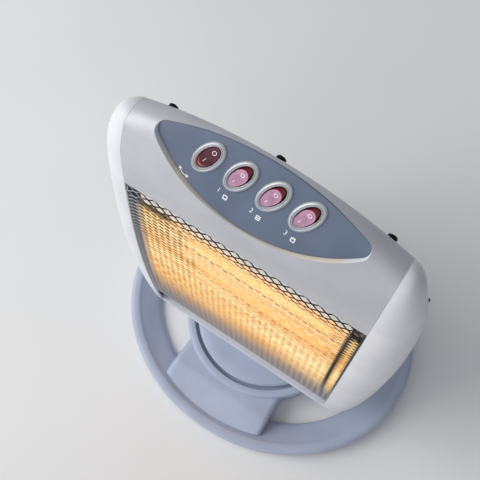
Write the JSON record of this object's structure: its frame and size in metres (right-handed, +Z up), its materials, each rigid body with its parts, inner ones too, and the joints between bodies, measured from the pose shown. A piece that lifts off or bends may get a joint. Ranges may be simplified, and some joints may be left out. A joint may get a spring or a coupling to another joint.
{
  "type": "halogen heater",
  "caption": "Oscillating halogen heater with a crowned control panel, rocker switches, wire grille and glowing tubes on an oval stand.",
  "frame": {"origin": "on the floor, on the vertical axis about which the head swings, at the middle of the stand", "axes": "+Z up, the grille faces -Y, +X to the right as one faces the grille"},
  "size_m": [0.356, 0.3026, 0.4594],
  "materials": {
    "stand_plastic": "fine moulded grain, light blue-grey",
    "cover_plastic": "satin moulded, warm light grey",
    "silver_paint": "silver-grey metallic paint, satin",
    "panel_plastic": "blue-grey satin panel",
    "bezel_plastic": "silver-grey satin",
    "rocker_off": "translucent red, unlit",
    "rocker_lit": "translucent red, lit",
    "grille_black": "black heat-resistant paint on expanded metal",
    "reflector_bright": "polished sheet with fine streaks along X",
    "chassis_steel": "grey zinc-plated sheet",
    "steel": "turned and pressed steel",
    "brass": "tinned brass",
    "quartz": "clear quartz",
    "filament": "glowing coil",
    "ceramic": "white steatite",
    "rubber": "black rubber",
    "black_steel": "black oxide",
    "inner_plastic": "plain natural moulding",
    "plunger_red": "red moulding",
    "rear_sheet": "silver-grey powder coat"
  },
  "bodies": {
    "base": {"base_moulding": "stand_plastic", "base_plate": "steel", "rubber_feet": "rubber", "plate_screws": "steel", "spindle": "steel", "thrust_washer": "inner_plastic", "retaining_washer": "steel", "spindle_nut": "steel", "swing_motor": "steel", "tip_switch": "black_steel", "plunger_spring": "steel", "cord_gland": "rubber"},
    "head": {"turntable": "stand_plastic", "turntable_screws": "steel", "bottom_cover": "cover_plastic", "chassis_left": "chassis_steel", "chassis_right": "chassis_steel", "side_cover_left": "cover_plastic", "side_cover_right": "cover_plastic", "side_screws": "black_steel", "top_cover": "silver_paint", "rear_screws": "black_steel", "control_panel": "panel_plastic", "switch_housings": "bezel_plastic", "switch_terminals": "brass", "grille_mesh": "grille_black", "reflector": "reflector_bright", "quartz_tubes": "quartz", "filaments": "filament", "tube_caps": "ceramic", "rear_housing": "rear_sheet", "housing_screws": "black_steel", "thermal_cutout": "ceramic", "terminal_block": "inner_plastic", "wiring_loom": "inner_plastic"},
    "crank": {"crank": "inner_plastic"},
    "plunger": {"tip_plunger": "plunger_red"},
    "rocker_swing": {"rocker_swing": "rocker_off"},
    "rocker_heat_1": {"rocker_heat_1": "rocker_lit"},
    "rocker_heat_2": {"rocker_heat_2": "rocker_lit"},
    "rocker_heat_3": {"rocker_heat_3": "rocker_lit"}
  },
  "joints": [
    {"name": "head_swing", "type": "hinge", "parent": "base", "child": "head", "pos_m": [0, 0, 0.05], "axis": [0, 0, 1], "range_deg": [-35, 35]},
    {"name": "crank_turn", "type": "hinge", "parent": "base", "child": "crank", "pos_m": [0, 0.034, 0.031], "axis": [0, 0, 1], "range_deg": [-125, 125]},
    {"name": "plunger_slide", "type": "slide", "parent": "base", "child": "plunger", "axis": [0, 0, -1], "range_m": [0, 0.004], "stiffness_N_per_m": 60, "springref_m": 0.007, "deforming": ["plunger_spring"]},
    {"name": "rocker_swing_tilt", "type": "hinge", "parent": "head", "child": "rocker_swing", "pos_m": [-0.041, 0.00014, 0.44485], "axis": [0.848, -0.3876, -0.3614], "range_deg": [0, 18]},
    {"name": "rocker_heat_1_tilt", "type": "hinge", "parent": "head", "child": "rocker_heat_1", "pos_m": [-0.015, 0.00014, 0.44485], "axis": [0.848, -0.3876, -0.3614], "range_deg": [-18, 0]},
    {"name": "rocker_heat_2_tilt", "type": "hinge", "parent": "head", "child": "rocker_heat_2", "pos_m": [0.011, 0.00014, 0.44485], "axis": [0.848, -0.3876, -0.3614], "range_deg": [-18, 0]},
    {"name": "rocker_heat_3_tilt", "type": "hinge", "parent": "head", "child": "rocker_heat_3", "pos_m": [0.037, 0.00014, 0.44485], "axis": [0.848, -0.3876, -0.3614], "range_deg": [-18, 0]}
  ],
  "couplings": [
    {"joint": "crank_turn", "follows": "head_swing", "ratio": 3.5714}
  ]
}
